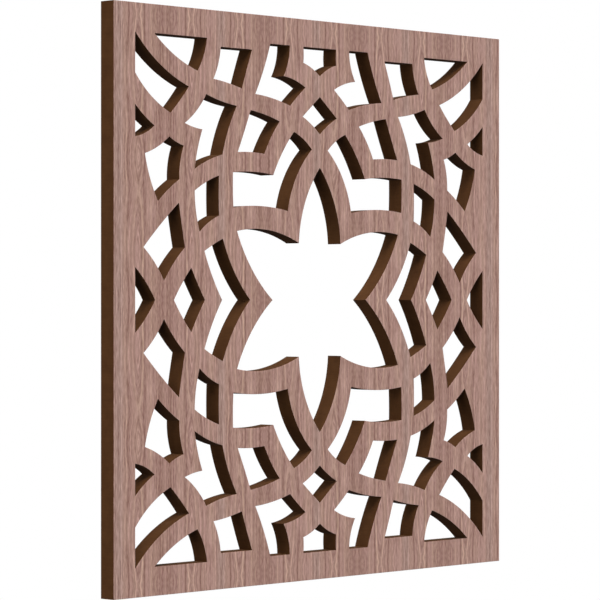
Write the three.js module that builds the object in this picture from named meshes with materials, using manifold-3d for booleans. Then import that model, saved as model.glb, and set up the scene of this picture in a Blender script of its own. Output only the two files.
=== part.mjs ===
// Square fretwork screen panel in the mashrabiya manner: one flat board, sawn right
// through with an interlaced star pattern inside a plain border.
// Millimetres, +Z up. The front faces -Y and the back lies in the plane y = 0.
// The origin is on the back, in the middle of the top border, where the panel is fixed.

import * as THREE from "three";
import { mergeVertices } from "three/addons/utils/BufferGeometryUtils.js";
import Module from "manifold-3d";

const wasm = await Module();
wasm.setup();

// Driving dimensions
const panelWidth = 600;
const panelHeight = 600;
const boardThickness = 19;
const borderWidth = 29.5;
const curveTolerance = 0.05; // most that a facet may stray from the sawn curve

// Each opening is a ring of corners in the upper right quarter, as [x, z, bow] from the
// panel's middle. The bow belongs to the side that leaves the corner: how far the middle
// of that side swells out of the opening, or into it where it is negative.
// The drawing is stretched until its outermost corners meet the border.

// Openings that stand clear of both centre lines: each is cut four times
const quarterOpenings = {
  cornerSickle: [
    [270.5, 270.5, 0],
    [270.5, 229.5, 4],
    [221.5, 191, 0.7],
    [195.5, 219, -6.1],
  ],
  cornerFan: [
    [243.5, 270.5, 3.8],
    [183, 236, 2.2],
    [169.5, 270.5, 0],
  ],
  topBlock: [
    [149.5, 262.5, -1.9],
    [160, 229, -0.9],
    [118.5, 221, -0.3],
    [103.5, 262.5, 0],
  ],
  topHook: [
    [76, 270.5, -1.4],
    [98.5, 216.5, -1.6],
    [46, 206.5, -0.4],
    [22.5, 227, 1.8],
    [56, 237.5, 2.4],
    [46.5, 270.5, 0],
  ],
  borderChip: [
    [270.5, 197.5, 0],
    [270.5, 165, 2],
    [244, 177, -1.2],
  ],
  shoulderArrow: [
    [201, 181.5, 0.9],
    [176, 176, 1.3],
    [187, 135, -1.7],
    [147, 151, -2.1],
    [126, 202.5, -1.4],
    [170.5, 212.5, -2.5],
  ],
  innerWedge: [
    [105.5, 199, -0.3],
    [124.5, 154.5, -0.9],
    [85, 154, -1.5],
    [62, 189, 1.1],
  ],
  sideLeaf: [
    [257, 148.5, 2.1],
    [239, 100.5, -1],
    [209, 123.5, -1.8],
    [203, 158, -0.9],
    [223, 166.5, -1.9],
  ],
  innerBoot: [
    [40, 179, 2.1],
    [71.5, 132, 1.9],
    [131.5, 133, 0.4],
    [131, 96.5, -3.4],
    [49.5, 94.5, -6.4],
    [12.5, 161, 1.8],
  ],
  innerBlock: [
    [187, 112.5, 1.7],
    [180, 70.5, -1.7],
    [152, 87.5, -0.5],
    [152, 129, 1.4],
  ],
  sideKite: [
    [259, 53.5, -2],
    [230.5, 19.5, -1.6],
    [201, 54, -0.3],
    [209.5, 99.5, 1],
  ],
};

// Openings on the upright centre line: half of each, cut at the top and at the bottom
const uprightOpenings = {
  topSpike: [
    [0, 240.5, -1.5],
    [25.5, 253.5, -0.5],
    [25.5, 270.5, 0],
  ],
  topDiamond: [
    [0, 218, 0],
    [26.5, 196, -1.1],
    [0, 178, -1.1],
  ],
};

// Openings on the level centre line: half of each, cut at the left and at the right
const levelOpenings = {
  borderDart: [
    [243, 0, 1.6],
    [270.5, 33, 0],
  ],
  sideDiamond: [
    [216.5, 0, 0.9],
    [192, 33, -0.5],
    [172.5, 0, -0.5],
  ],
  starFin: [
    [147.5, 0, 1.6],
    [173, 50.5, 0.5],
    [146.5, 63.5, -4],
    [106.5, 0, -4],
  ],
};

// The six-pointed star in the middle: a quarter of it, cut once
const starQuarter = [
  [0, 142, 7.2],
  [32.5, 60.5, 7.3],
  [125.5, 72, 5.8],
  [72.5, 0, 5.8],
];

const drawnReach = Math.max(...Object.values(quarterOpenings).flat().map(([x]) => x));

const flipX = ([x, z, bow]) => [-x, z, bow];
const flipZ = ([x, z, bow]) => [x, -z, bow];

// Completes a ring that stops at a centre line with its own reflection in that line. The
// reflection runs backwards, so each corner there takes the bow of the side before it.
function closeAcross(ring, flip) {
  const reflection = ring
    .map((corner, i) => {
      const [x, z] = flip(corner);
      const [, , bow] = ring[Math.max(i - 1, 0)];
      return [x, z, bow];
    })
    .filter(([x, z], i) => x !== ring[i][0] || z !== ring[i][1])
    .reverse();
  return [...ring, ...reflection];
}

// Points along one side, from its first corner up to but not including the next one
function sidePoints(start, end, bow, outward) {
  const steps = Math.max(1, Math.ceil(Math.sqrt(Math.abs(bow) / curveTolerance)));
  if (steps === 1) return [start];
  const halfChord = start.distanceTo(end) / 2;
  const radius = (halfChord ** 2 + bow ** 2) / (2 * bow); // negative for an inward bow
  const centre = start.clone().add(end).multiplyScalar(0.5).addScaledVector(outward, bow - radius);
  const spoke = start.clone().sub(centre);
  const sweep = spoke.angle() - end.clone().sub(centre).angle();
  const turn = THREE.MathUtils.euclideanModulo(sweep + Math.PI, 2 * Math.PI) - Math.PI;
  return Array.from({ length: steps }, (_, i) =>
    start.clone().rotateAround(centre, (-turn * i) / steps),
  );
}

// The outline of one opening on the field that the border leaves
function openingShape(ring, fieldReach) {
  const stretch = fieldReach.clone().divideScalar(drawnReach);
  const bowStretch = Math.min(stretch.x, stretch.y);
  const corners = ring.map(([x, z]) => new THREE.Vector2(x, z).multiply(stretch));
  const winding = Math.sign(THREE.ShapeUtils.area(corners));
  const points = corners.flatMap((start, i) => {
    const end = corners[(i + 1) % corners.length];
    const along = end.clone().sub(start).normalize();
    const outward = new THREE.Vector2(along.y, -along.x).multiplyScalar(winding);
    return sidePoints(start, end, ring[i][2] * bowStretch, outward);
  });
  return new THREE.Shape(points);
}

// Every opening of the whole panel, as rings
function allOpenings() {
  const same = (corner) => corner;
  const flipBoth = (corner) => flipX(flipZ(corner));
  const quarters = Object.values(quarterOpenings).flatMap((ring) =>
    [same, flipX, flipZ, flipBoth].map((flip) => ring.map(flip)),
  );
  const uprights = Object.values(uprightOpenings)
    .map((half) => closeAcross(half, flipX))
    .flatMap((ring) => [ring, ring.map(flipZ)]);
  const levels = Object.values(levelOpenings)
    .map((half) => closeAcross(half, flipZ))
    .flatMap((ring) => [ring, ring.map(flipX)]);
  const star = closeAcross(closeAcross(starQuarter, flipZ), flipX);
  return [...quarters, ...uprights, ...levels, star];
}

// A drawn shape as a solid that stands upright, between two distances in front of the
// back plane
function upright(shape, from, to) {
  const geometry = new THREE.ExtrudeGeometry(shape, { depth: to - from, bevelEnabled: false });
  geometry.translate(0, 0, from);
  geometry.rotateX(Math.PI / 2);
  geometry.deleteAttribute("normal");
  geometry.deleteAttribute("uv");
  const merged = mergeVertices(geometry);
  const mesh = new wasm.Mesh({
    numProp: 3,
    vertProperties: merged.attributes.position.array,
    triVerts: new Uint32Array(merged.index.array),
  });
  return new wasm.Manifold(mesh);
}

// The board with every opening sawn through it, each cut overrunning both faces
function fretworkPanel() {
  const reach = new THREE.Vector2(panelWidth, panelHeight).multiplyScalar(0.5);
  const fieldReach = reach.clone().subScalar(borderWidth);
  const outline = new THREE.Shape([
    new THREE.Vector2(-reach.x, -reach.y),
    new THREE.Vector2(reach.x, -reach.y),
    new THREE.Vector2(reach.x, reach.y),
    new THREE.Vector2(-reach.x, reach.y),
  ]);
  const board = upright(outline, 0, boardThickness);
  const sawn = allOpenings().reduce((solid, ring) => {
    const opening = openingShape(ring, fieldReach);
    return solid.subtract(upright(opening, -boardThickness, 2 * boardThickness));
  }, board);
  const { vertProperties, triVerts } = sawn.getMesh();
  const geometry = new THREE.BufferGeometry();
  geometry.setAttribute("position", new THREE.BufferAttribute(vertProperties, 3));
  geometry.setIndex(new THREE.BufferAttribute(triVerts, 1));
  return geometry.toNonIndexed(); // each facet keeps its own flat normal
}

const walnut = new THREE.MeshStandardMaterial({
  color: 0xa48378,
  roughness: 0.55,
  metalness: 0,
});

const geometry = fretworkPanel();
geometry.computeVertexNormals();

const panel = new THREE.Mesh(geometry, walnut);
panel.name = "fretwork_panel";
panel.position.z = (borderWidth - panelHeight) / 2; // the top border's middle is at z = 0

const screen = new THREE.Group();
screen.add(panel);

export default screen;
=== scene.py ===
import cmath
import math

import bmesh
import bpy
from mathutils import Matrix, Vector


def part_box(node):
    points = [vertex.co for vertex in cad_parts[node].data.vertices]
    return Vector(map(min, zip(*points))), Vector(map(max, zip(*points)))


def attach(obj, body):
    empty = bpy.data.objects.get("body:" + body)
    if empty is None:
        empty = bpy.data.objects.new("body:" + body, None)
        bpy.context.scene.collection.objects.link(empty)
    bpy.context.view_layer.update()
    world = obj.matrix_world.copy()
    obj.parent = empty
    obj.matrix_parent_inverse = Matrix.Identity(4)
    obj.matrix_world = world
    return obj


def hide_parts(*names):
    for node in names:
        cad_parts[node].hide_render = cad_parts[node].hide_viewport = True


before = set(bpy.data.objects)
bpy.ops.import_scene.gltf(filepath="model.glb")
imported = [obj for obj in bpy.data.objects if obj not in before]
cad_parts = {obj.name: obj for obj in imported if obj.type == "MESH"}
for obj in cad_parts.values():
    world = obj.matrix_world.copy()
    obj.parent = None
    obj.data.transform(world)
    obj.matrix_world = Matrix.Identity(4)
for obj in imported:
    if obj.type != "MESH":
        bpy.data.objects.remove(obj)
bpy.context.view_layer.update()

# Square fretwork screen: one walnut-veneered board with a star lattice sawn through it.
# Everything is in metres. The front faces -Y, +X is to the right and +Z is up.

low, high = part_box("fretwork_panel")
panelMiddle = (low + high) / 2
panelHeight = high.z - low.z
boardThickness = high.y - low.y
frontMiddle = Vector((panelMiddle.x, low.y, panelMiddle.z))


# Camera: level with the panel's middle, well out to its left, through a long lens

cameraLook = {
    "lens": 172.3,         # mm
    "sensor": 36,          # mm wide
    "turn": 46.18,         # degrees that the view swings to the right of straight ahead
    "reach": 5.145,        # distance to the front face, in panel heights
    "sideways": 0.0357,    # the panel's middle lies this far right of the view's, in heights too
}


def placeCamera():
    turn = math.radians(cameraLook["turn"])
    ahead = Vector((math.sin(turn), math.cos(turn), 0))
    right = Vector((math.cos(turn), -math.sin(turn), 0))
    cameraData = bpy.data.cameras.new("camera")
    cameraData.lens = cameraLook["lens"]
    cameraData.sensor_width = cameraLook["sensor"]
    camera = bpy.data.objects.new("camera", cameraData)
    camera.location = (
        frontMiddle
        - ahead * cameraLook["reach"] * panelHeight
        - right * cameraLook["sideways"] * panelHeight
    )
    camera.rotation_euler = (math.radians(90), 0, -turn)
    bpy.context.scene.collection.objects.link(camera)
    bpy.context.scene.camera = camera


placeCamera()
print("camera placed")


# Outlines: the loops where the front face meets the sawn walls, taken from the frame

outlineLook = {
    "weld": 1e-5,          # points closer than this are one
    "squareOn": 0.9,       # a face this square to the front or back belongs to it
    "edgeOn": 0.1,         # and one below this is a wall
    "cornerTurn": 15,      # degrees: a sharper turn than this is a real corner
    "splits": 3,           # each facet of a curve becomes this many
}


def frontLoops(node):
    work = bmesh.new()
    work.from_mesh(node.data)
    bmesh.ops.remove_doubles(work, verts=work.verts, dist=outlineLook["weld"])
    nextVert = {}
    for edge in work.edges:
        for loop in edge.link_loops:
            onFront = loop.face.normal.y < -outlineLook["squareOn"]
            other = loop.link_loop_radial_next.face
            if onFront and abs(other.normal.y) < outlineLook["edgeOn"]:
                nextVert[loop.vert] = loop.link_loop_next.vert
    loops = []
    while nextVert:
        vert = next(iter(nextVert))
        loop = []
        while vert in nextVert:
            loop.append(complex(vert.co.x, vert.co.z - panelMiddle.z))
            vert = nextVert.pop(vert)
        loops.append(loop)
    work.free()
    return loops


def turnAt(loop, i):
    before = loop[i] - loop[i - 1]
    after = loop[(i + 1) % len(loop)] - loop[i]
    return abs(math.degrees(cmath.phase(after / before)))


# Turns a run of equal facets into a finer curve through the same points
def smoothRun(run, splits):
    if len(run) < 3:
        return run[:-1]
    startTurn = (run[2] - run[1]) / (run[1] - run[0])
    endTurn = (run[-1] - run[-2]) / (run[-2] - run[-3])
    before = run[0] - (run[1] - run[0]) / startTurn
    after = run[-1] + (run[-1] - run[-2]) * endTurn
    padded = [before, *run, after]
    fine = []
    for a, b, c, d in zip(padded, padded[1:], padded[2:], padded[3:]):
        for k in range(splits):
            t = k / splits
            fine.append(0.5 * (
                2 * b
                + (c - a) * t
                + (2 * a - 5 * b + 4 * c - d) * t**2
                + (3 * b - a - 3 * c + d) * t**3
            ))
    return fine


def fineLoop(loop):
    corners = [i for i in range(len(loop)) if turnAt(loop, i) > outlineLook["cornerTurn"]]
    fine = []
    for start, end in zip(corners, corners[1:] + [corners[0] + len(loop)]):
        run = [loop[i % len(loop)] for i in range(start, end + 1)]
        fine += smoothRun(run, outlineLook["splits"])
    return fine


outlines = [fineLoop(loop) for loop in frontLoops(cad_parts["fretwork_panel"])]
print("outlines:", len(outlines), "loops,", sum(map(len, outlines)), "points")


# Panel: the outlines filled and thickened, with a hair of an arris on every edge

panelLook = {
    "arris": 0.0003,       # width of the softened edge
    "arrisSteps": 1,
    "weld": 1e-6,          # points closer than this are one
    "smoothAngle": 25,     # degrees: a wall turns a crisp corner above this
    "sameBand": 0.01,      # faces whose lean differs by less lie in one band of a wall
}


def buildPanel():
    arris = panelLook["arris"]
    outline = bpy.data.curves.new("panelOutline", "CURVE")
    outline.dimensions = "2D"
    outline.fill_mode = "BOTH"
    outline.extrude = boardThickness / 2 - arris
    outline.bevel_depth = arris
    outline.bevel_resolution = panelLook["arrisSteps"]
    outline.offset = -arris
    for loop in outlines:
        spline = outline.splines.new("POLY")
        spline.points.add(len(loop) - 1)
        spline.use_cyclic_u = True
        for point, place in zip(spline.points, loop):
            point.co = (place.real, place.imag, 0, 1)
    drawn = bpy.data.objects.new("panelOutline", outline)
    bpy.context.scene.collection.objects.link(drawn)
    solved = drawn.evaluated_get(bpy.context.evaluated_depsgraph_get())
    mesh = bpy.data.meshes.new_from_object(solved)
    bpy.data.objects.remove(drawn)
    mesh.name = "fretworkPanel"
    upright = Matrix.Rotation(math.radians(90), 4, "X")
    mesh.transform(Matrix.Translation(panelMiddle) @ upright)
    weld = bmesh.new()
    weld.from_mesh(mesh)
    bmesh.ops.remove_doubles(weld, verts=weld.verts, dist=panelLook["weld"])
    bmesh.ops.recalc_face_normals(weld, faces=weld.faces)
    openEdges = [edge for edge in weld.edges if len(edge.link_faces) != 2]
    print("panel faces:", len(weld.faces), "open edges:", len(openEdges))
    smoothAngle = math.radians(panelLook["smoothAngle"])
    for edge in weld.edges:     # only a curved wall is shaded smooth, along its own run
        first, second = edge.link_faces
        sameBand = abs(first.normal.y - second.normal.y) < panelLook["sameBand"]
        edge.smooth = sameBand and edge.calc_face_angle() < smoothAngle
    weld.to_mesh(mesh)
    weld.free()
    panel = bpy.data.objects.new("fretworkPanel", mesh)
    bpy.context.scene.collection.objects.link(panel)
    return panel


panel = buildPanel()
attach(panel, "root")
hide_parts("fretwork_panel")


# Small helpers for node trees

def startTree(owner):
    owner.use_nodes = True
    owner.node_tree.nodes.clear()
    return owner.node_tree


def addNode(tree, kind, inputs=None, **settings):
    node = tree.nodes.new(kind)
    for name, value in settings.items():
        setattr(node, name, value)
    for socket, value in (inputs or {}).items():
        if isinstance(value, bpy.types.NodeSocket):
            tree.links.new(value, node.inputs[socket])
        else:
            node.inputs[socket].default_value = value
    return node


def calc(tree, operation, *values):
    node = addNode(tree, "ShaderNodeMath", dict(enumerate(values)), operation=operation)
    return node.outputs[0]


def total(tree, values):
    result = values[0]
    for value in values[1:]:
        result = calc(tree, "ADD", result, value)
    return result


# Runs from low to high while the value goes from start to end
def fade(tree, value, start, end, low=0.0, high=1.0, kind="SMOOTHSTEP"):
    inputs = {"Value": value, "From Min": start, "From Max": end, "To Min": low, "To Max": high}
    node = addNode(tree, "ShaderNodeMapRange", inputs, interpolation_type=kind)
    return node.outputs["Result"]


# Colour between a dark and a light one, by tone
def twoTone(tree, tone, colours, start=0.0, end=1.0):
    ramp = addNode(tree, "ShaderNodeValToRGB", {0: tone})
    for stop, colour, place in zip(ramp.color_ramp.elements, colours, (start, end)):
        stop.position = place
        stop.color = colour
    return ramp.outputs["Color"]


# Veneer: walnut leaves laid side by side with the grain upright, each the same as the last.
# A leaf is bookmatched about its dark heart, with one eye figure on each side of it, and
# the grain also mirrors up and down at the panel's middle and every leaf's width from it.

veneerLook = {
    "leaf": 0.144,              # width of a leaf, and height of a fold
    "heart": -0.2291,           # x of the first leaf's heart
    "plain": [(0.237, 0.110, 0.082, 1), (0.745, 0.473, 0.398, 1)],      # dark and light grain
    "tan": [(0.235, 0.117, 0.077, 1), (0.735, 0.492, 0.361, 1)],
    "ash": [(0.228, 0.114, 0.085, 1), (0.712, 0.484, 0.407, 1)],
    "middleTone": 0.437,
    # noise along the grain: width, length, and contrast or sway
    "wander": [(0.030, 0.25, 0.0012), (0.005, 0.025, 0.0004)],
    "streaks": [(0.0014, 0.60, 1.05), (0.0015, 0.040, 1.05)],
    "bands": (0.012, 0.70, 0.16),
    "fibres": (0.0009, 0.008, 1.10),
    "specks": (0.0014, 0.0050, 0.35),
    "speckReach": 0.018,        # specks keep this near the heart
    "warmth": (0.010, 0.10, 1.6),
    "warmStart": 0.12,          # share of tan in the plainest grain
    "warmLines": 2.6,           # how much of their colour the tan lines bring
    "noiseRoughness": 0.55,
    "seedStep": 7.0,
    "seeds": {"wander": 20, "streaks": 3, "eyeStreaks": 50, "bands": 30, "fibres": 31,
              "specks": 40, "warmth": 60},
    # single lines: distance from the heart, half width, and change of tone
    "heartDark": (0.0050, 0.0100, -0.13),
    "heartLine": (0.0000, 0.0012, 0.22),
    "tanLines": [(0.0197, 0.0008, 0.21), (0.0300, 0.0007, 0.06)],
    "plainLines": [(0.0240, 0.0009, 0.08), (0.0130, 0.0007, 0.08), (0.0560, 0.0009, 0.08),
                   (0.0160, 0.0008, -0.08)],
    "seamLines": [(-0.0600, 0.0010, 0.20), (0.0720, 0.0010, 0.14), (0.0640, 0.0008, 0.10),
                  (-0.0640, 0.0010, -0.10)],
    "seamPale": (0.0660, 0.0080, 0.03),      # the paler strip either side of the seam
    "seamOwn": (0.066, 0.0045, 1.5),         # where the two halves of a leaf stop matching
    "ashPlace": (-0.0640, 0.0060),           # the greyer part of that strip
    "flatTop": 4.0,                          # power that gives a hump a flat top
    # eye figures
    "eye": 0.0380,                           # distance from the heart to an eye's middle
    "eyeHeight": 0.051,                      # how far an eye's middle lies from a fold
    "eyeTip": 0.112,                         # where its outline closes
    "eyeClose": (-0.012, 0.006),             # it fades from here to here about the tip
    "eyeSlope": 0.129,                       # an eye is this many times narrower than tall
    "eyeTaper": 0.03,                        # how gently the taper turns beyond the tip
    "eyeBend": (0.012, 0.010),               # reach of the bend, and how much more outside
    "eyePower": (2.0, 0.7),                  # its roundness, and how much less outside
    "eyeInside": (0.0098, 0.0076),           # the eye's own grain fades in between these
    "eyeRings": [(0.0073, 0.0009, 0.19), (0.0051, 0.0007, -0.14)],
    "eyeMiddle": (0.0000, 0.0048, 0.09),
    "eyeFar": 0.7,                           # strength of the rings away from the heart
    "eyeFarStart": 0.003,                    # it changes over this much about the middle
    "eyeFold": 0.25,                         # strength of the rings past the tip
    "eyeSideLines": [(-0.0098, 0.0009, -0.18), (0.0104, 0.0008, -0.10),
                     (0.0125, 0.0009, 0.10), (0.0154, 0.0014, -0.19)],
    # finish
    "roughness": (0.58, 0.46),               # of dark and of light grain
    "specular": 0.20,
    "bumpHeight": 0.00004,
}


# Noise about zero along the grain. A place is the distance out from the heart, a shift
# that sets the two sides of the seam apart, and the height up from a fold.
def grainNoise(tree, place, width, length, contrast, seed, detail=2.0):
    out, side, up = place
    parts = {
        0: calc(tree, "DIVIDE", out, width),
        1: calc(tree, "ADD", side, veneerLook["seedStep"] * seed),
        2: calc(tree, "DIVIDE", up, length),
    }
    spot = addNode(tree, "ShaderNodeCombineXYZ", parts)
    inputs = {
        "Vector": spot.outputs[0],
        "Scale": 1.0,
        "Detail": detail,
        "Roughness": veneerLook["noiseRoughness"],
    }
    noise = addNode(tree, "ShaderNodeTexNoise", inputs)
    return calc(tree, "MULTIPLY", calc(tree, "SUBTRACT", noise.outputs["Fac"], 0.5), contrast)


# A smooth hump of the given half width about a middle; a higher power has a flatter top
def hump(tree, value, middle, halfWidth, height, power=2.0):
    share = calc(tree, "DIVIDE", calc(tree, "SUBTRACT", value, middle), halfWidth)
    drop = calc(tree, "MULTIPLY", calc(tree, "POWER", calc(tree, "ABSOLUTE", share), power), -1.0)
    return calc(tree, "MULTIPLY", calc(tree, "EXPONENT", drop), height)


def humps(tree, value, lines):
    return total(tree, [hump(tree, value, *line) for line in lines])


# The grain bends round an eye: for each place, how far from the eye's middle its streak
# runs at the eye's widest. The bend reaches further on the side away from the heart.
def eyeRing(tree, offset, up):
    look = veneerLook
    reach, moreReach = look["eyeBend"]
    power, lessPower = look["eyePower"]
    rise = calc(tree, "ABSOLUTE", calc(tree, "SUBTRACT", up, look["eyeHeight"]))
    beyond = calc(tree, "SUBTRACT", 2 * look["eyeTip"] - look["eyeHeight"], up)
    taper = calc(tree, "SMOOTH_MIN", rise, beyond, look["eyeTaper"])
    pinch = calc(tree, "MULTIPLY", taper, look["eyeSlope"])
    outside = calc(tree, "GREATER_THAN", offset, 0.0)
    power = calc(tree, "SUBTRACT", power, calc(tree, "MULTIPLY", outside, lessPower))
    reach = calc(tree, "ADD", reach, calc(tree, "MULTIPLY", outside, moreReach))
    pinch = calc(tree, "MULTIPLY", pinch, hump(tree, offset, 0.0, reach, 1.0, look["flatTop"]))
    sides = (calc(tree, "ABSOLUTE", offset), pinch)
    powers = [calc(tree, "POWER", side, power) for side in sides]
    return calc(tree, "POWER", total(tree, powers), calc(tree, "DIVIDE", 1.0, power))


# Tone of the grain, and how much of it comes from the tan lines
def veneerTone(tree, across, up):
    look = veneerLook
    seeds = look["seeds"]
    flatTop = look["flatTop"]
    distance = calc(tree, "ABSOLUTE", across)
    side = calc(
        tree, "MULTIPLY",
        hump(tree, distance, *look["seamOwn"], flatTop), calc(tree, "SIGN", across),
    )
    out = distance
    for i, wander in enumerate(look["wander"]):
        sway = grainNoise(tree, (out, side, up), *wander, seeds["wander"] + i)
        out = calc(tree, "ADD", out, sway)
    offset = calc(tree, "SUBTRACT", out, look["eye"])
    ring = eyeRing(tree, offset, up)
    signed = calc(tree, "MULTIPLY", ring, calc(tree, "SIGN", offset))
    bent = calc(tree, "ADD", signed, look["eye"])
    bentPlace = (bent, side, up)

    streaks, eyeStreaks = [
        total(tree, [
            grainNoise(tree, (source, side, up), *streak, seeds[name] + i, detail=3.0)
            for i, streak in enumerate(look["streaks"])
        ])
        for source, name in ((bent, "streaks"), (ring, "eyeStreaks"))
    ]
    difference = calc(tree, "SUBTRACT", eyeStreaks, streaks)
    eyeGrain = calc(tree, "MULTIPLY", difference, fade(tree, ring, *look["eyeInside"]))

    start = look["eyeFarStart"]
    near = fade(tree, offset, start, -start, look["eyeFar"], 1.0, kind="LINEAR")
    fadeStart, fadeEnd = [look["eyeTip"] + step for step in look["eyeClose"]]
    closed = fade(tree, up, fadeStart, fadeEnd, 1.0, look["eyeFold"])
    strength = calc(tree, "MULTIPLY", near, closed)
    outline, inside = [
        calc(tree, "MULTIPLY", hump(tree, ring, *line), strength) for line in look["eyeRings"]
    ]
    middle = calc(tree, "MULTIPLY", hump(tree, ring, *look["eyeMiddle"], flatTop), closed)

    tan = calc(tree, "ADD", humps(tree, bent, look["tanLines"]), outline)
    specks = grainNoise(tree, (out, side, up), *look["specks"], seeds["specks"], detail=0.0)
    specks = calc(
        tree, "MULTIPLY", specks, hump(tree, out, 0.0, look["speckReach"], 1.0, flatTop),
    )
    tone = total(tree, [
        streaks, eyeGrain, inside, tan, middle,
        humps(tree, signed, look["eyeSideLines"]),
        humps(tree, bent, [look["heartDark"], look["heartLine"], *look["plainLines"]]),
        humps(tree, across, look["seamLines"]),
        hump(tree, distance, *look["seamPale"], flatTop),
        grainNoise(tree, bentPlace, *look["bands"], seeds["bands"]),
        grainNoise(tree, bentPlace, *look["fibres"], seeds["fibres"]),
        specks,
    ])
    return calc(tree, "ADD", tone, look["middleTone"]), tan


def makeVeneer():
    look = veneerLook
    material = bpy.data.materials.new("walnutVeneer")
    tree = startTree(material)
    where = addNode(tree, "ShaderNodeTexCoord")
    parts = addNode(tree, "ShaderNodeSeparateXYZ", {0: where.outputs["Object"]})
    half = look["leaf"] / 2
    fromHeart = calc(tree, "SUBTRACT", parts.outputs["X"], look["heart"])
    across = calc(tree, "WRAP", fromHeart, half, -half)
    height = calc(tree, "SUBTRACT", parts.outputs["Z"], panelMiddle.z)
    up = calc(tree, "PINGPONG", height, look["leaf"])
    tone, tan = veneerTone(tree, across, up)

    warmth = grainNoise(tree, (across, 0.0, up), *look["warmth"], look["seeds"]["warmth"])
    tanLines = calc(tree, "MULTIPLY", tan, look["warmLines"])
    warmth = total(tree, [warmth, tanLines, look["warmStart"]])
    tanShare = addNode(tree, "ShaderNodeClamp", {"Value": warmth}).outputs[0]
    ashShare = hump(tree, across, *look["ashPlace"], 1.0, look["flatTop"])
    colour = twoTone(tree, tone, look["plain"])
    for share, name in ((tanShare, "tan"), (ashShare, "ash")):
        # sockets 0, 6 and 7 are the share and the two colours
        inputs = {0: share, 6: colour, 7: twoTone(tree, tone, look[name])}
        mixed = addNode(tree, "ShaderNodeMix", inputs, data_type="RGBA")
        colour = mixed.outputs[2]
    dull, shiny = look["roughness"]
    bump = addNode(tree, "ShaderNodeBump", {"Height": tone, "Distance": look["bumpHeight"]})
    shader = addNode(
        tree, "ShaderNodeBsdfPrincipled",
        {
            "Base Color": colour,
            "Roughness": fade(tree, tone, 0.0, 1.0, dull, shiny, kind="LINEAR"),
            "Specular IOR Level": look["specular"],
            "Normal": bump.outputs["Normal"],
        },
    )
    addNode(tree, "ShaderNodeOutputMaterial", {"Surface": shader.outputs[0]})
    return material


# Sawn walls and outer edges: stained dark brown, nearly plain

edgeLook = {
    "colours": [(0.056, 0.0223, 0.0076, 1), (0.070, 0.0288, 0.0100, 1)],     # dark and light
    "colourRange": (0.35, 0.65),    # tones at which those two are reached
    "mottleSize": 0.012,
    "mottleShare": 0.7,
    "sawLine": 0.0011,              # width of a saw line
    "sawStretch": 0.06,             # it is drawn out through the board by this
    "sawShare": 0.3,
    "roughness": 0.75,
    "specular": 0.05,
    "bumpHeight": 0.00003,
}


def makeSawnEdge():
    look = edgeLook
    material = bpy.data.materials.new("sawnEdge")
    tree = startTree(material)
    where = addNode(tree, "ShaderNodeTexCoord")
    mottle = addNode(
        tree, "ShaderNodeTexNoise",
        {"Vector": where.outputs["Object"], "Scale": 1 / look["mottleSize"], "Detail": 3.0},
    )
    stretch = addNode(
        tree, "ShaderNodeMapping",
        {"Vector": where.outputs["Object"], "Scale": (1, look["sawStretch"], 1)},
    )
    sawLines = addNode(
        tree, "ShaderNodeTexNoise",
        {"Vector": stretch.outputs[0], "Scale": 1 / look["sawLine"], "Detail": 1.0},
    )
    tone = total(tree, [
        calc(tree, "MULTIPLY", mottle.outputs["Fac"], look["mottleShare"]),
        calc(tree, "MULTIPLY", sawLines.outputs["Fac"], look["sawShare"]),
    ])
    bump = addNode(
        tree, "ShaderNodeBump",
        {"Height": sawLines.outputs["Fac"], "Distance": look["bumpHeight"]},
    )
    shader = addNode(
        tree, "ShaderNodeBsdfPrincipled",
        {
            "Base Color": twoTone(tree, tone, look["colours"], *look["colourRange"]),
            "Roughness": look["roughness"],
            "Specular IOR Level": look["specular"],
            "Normal": bump.outputs["Normal"],
        },
    )
    addNode(tree, "ShaderNodeOutputMaterial", {"Surface": shader.outputs[0]})
    return material


def finishPanel():
    panel.data.materials.clear()
    panel.data.materials.append(makeVeneer())
    panel.data.materials.append(makeSawnEdge())
    for face in panel.data.polygons:
        face.use_smooth = True
        face.material_index = 0 if abs(face.normal.y) > outlineLook["squareOn"] else 1


finishPanel()
print("materials made")


# Stage: a pure white backdrop that only the camera sees, and a pale floor below

stageLook = {
    "backdropRadius": 14,
    "backdropSplits": 4,
    "floorRadius": 1.9,
    "floorPoints": 128,
    "floorFade": 0.7,           # how far from its middle the floor starts to fade to white
    "floorDrop": 0.30,          # gap between the panel and the floor
    "floorColour": (0.86, 0.79, 0.70, 1),
    "floorRoughness": 0.8,
}


def addWhite(tree):
    glow = addNode(tree, "ShaderNodeEmission", {"Color": (1, 1, 1, 1), "Strength": 1.0})
    return glow.outputs[0]


def makeBackdrop():
    mesh = bpy.data.meshes.new("backdrop")
    ball = bmesh.new()
    bmesh.ops.create_icosphere(
        ball, subdivisions=stageLook["backdropSplits"], radius=stageLook["backdropRadius"],
    )
    ball.to_mesh(mesh)
    ball.free()
    backdrop = bpy.data.objects.new("backdrop", mesh)
    backdrop.location = panelMiddle
    bpy.context.scene.collection.objects.link(backdrop)
    material = bpy.data.materials.new("backdropWhite")
    tree = startTree(material)
    addNode(tree, "ShaderNodeOutputMaterial", {"Surface": addWhite(tree)})
    mesh.materials.append(material)
    for ray in ("diffuse", "glossy", "transmission", "volume_scatter", "shadow"):
        setattr(backdrop, "visible_" + ray, False)


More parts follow.
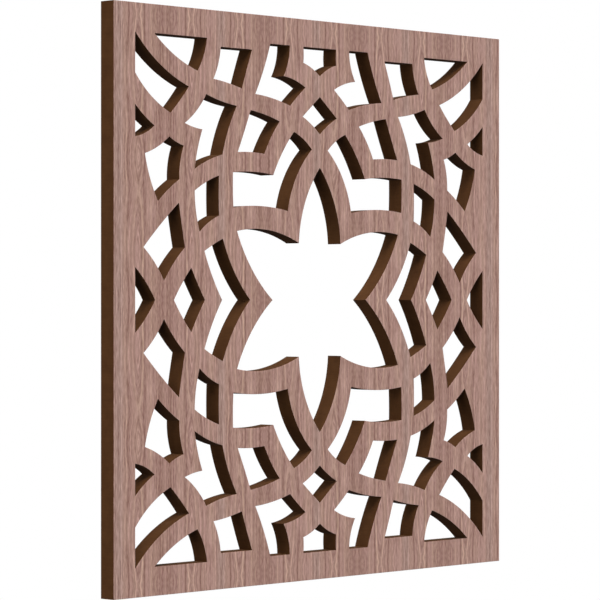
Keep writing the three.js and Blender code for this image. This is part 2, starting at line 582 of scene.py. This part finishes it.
def makeFloor():
    look = stageLook
    mesh = bpy.data.meshes.new("floor")
    disc = bmesh.new()
    bmesh.ops.create_circle(
        disc, cap_ends=True, segments=look["floorPoints"], radius=look["floorRadius"],
    )
    disc.to_mesh(mesh)
    disc.free()
    floor = bpy.data.objects.new("floor", mesh)
    floor.location = (panelMiddle.x, panelMiddle.y, low.z - look["floorDrop"])
    bpy.context.scene.collection.objects.link(floor)
    material = bpy.data.materials.new("floorPale")
    tree = startTree(material)
    where = addNode(tree, "ShaderNodeTexCoord")
    reach = addNode(
        tree, "ShaderNodeVectorMath", {0: where.outputs["Object"]}, operation="LENGTH",
    )
    whiteShare = fade(tree, reach.outputs["Value"], look["floorFade"], look["floorRadius"])
    paint = addNode(
        tree, "ShaderNodeBsdfPrincipled",
        {"Base Color": look["floorColour"], "Roughness": look["floorRoughness"]},
    )
    blend = addNode(
        tree, "ShaderNodeMixShader", {0: whiteShare, 1: paint.outputs[0], 2: addWhite(tree)},
    )
    addNode(tree, "ShaderNodeOutputMaterial", {"Surface": blend.outputs[0]})
    mesh.materials.append(material)
    for ray in ("diffuse", "glossy"):       # it doesn't light the panel from below
        setattr(floor, "visible_" + ray, False)


makeBackdrop()
makeFloor()
print("backdrop and floor made")


# Light: soft and white from the front, the left and above, so that the sawn walls that
# face up are the brighter ones, and a weak bluish fill

lightLook = {
    "lampColour": (1.0, 1.0, 1.0),
    "fillColour": (0.62, 0.76, 1.0),
    "roomStrength": 0.06,
    "lampDistance": 3.0,        # where the suns are drawn; their light is the same from anywhere
    # turn to the left of straight in front, rise, softness (all in degrees) and strength
    "lamps": {
        "left": (82, 6, 55, 2.2),
        "frontTop": (16, 60, 36, 3.9),
        "backTop": (130, 60, 36, 1.0),
        "right": (-85, 10, 50, 1.0),
        "back": (190, 5, 12, 1.75),
    },
    # these cast no shadows, so the depths of the openings stay readable
    "fills": {
        "leftHigh": (84, 60, 20, 0.60),
        "leftLow": (84, -60, 20, 0.24),
        "rightHigh": (-84, 60, 20, 0.56),
        "rightLow": (-84, -60, 20, 0.56),
    },
}


def addLamp(name, shadows, colour, turn, rise, softness, strength):
    turn, rise = math.radians(turn), math.radians(rise)
    source = Vector((
        -math.sin(turn) * math.cos(rise),
        -math.cos(turn) * math.cos(rise),
        math.sin(rise),
    ))
    lamp = bpy.data.lights.new(name, "SUN")
    lamp.angle = math.radians(softness)
    lamp.energy = strength
    lamp.use_shadow = shadows
    lamp.color = colour
    holder = bpy.data.objects.new(name, lamp)
    holder.location = frontMiddle + lightLook["lampDistance"] * source
    holder.rotation_euler = (-source).to_track_quat("-Z", "Y").to_euler()
    bpy.context.scene.collection.objects.link(holder)


def lightRoom():
    look = lightLook
    world = bpy.data.worlds.new("room")
    tree = startTree(world)
    glow = addNode(
        tree, "ShaderNodeBackground",
        {"Color": (*look["fillColour"], 1), "Strength": look["roomStrength"]},
    )
    addNode(tree, "ShaderNodeOutputWorld", {"Surface": glow.outputs[0]})
    bpy.context.scene.world = world
    for name, settings in look["lamps"].items():
        addLamp(name, True, look["lampColour"], *settings)
    for name, settings in look["fills"].items():
        addLamp(name, False, look["fillColour"], *settings)
    bpy.context.scene.view_settings.view_transform = "Standard"


lightRoom()
print("studio lit")
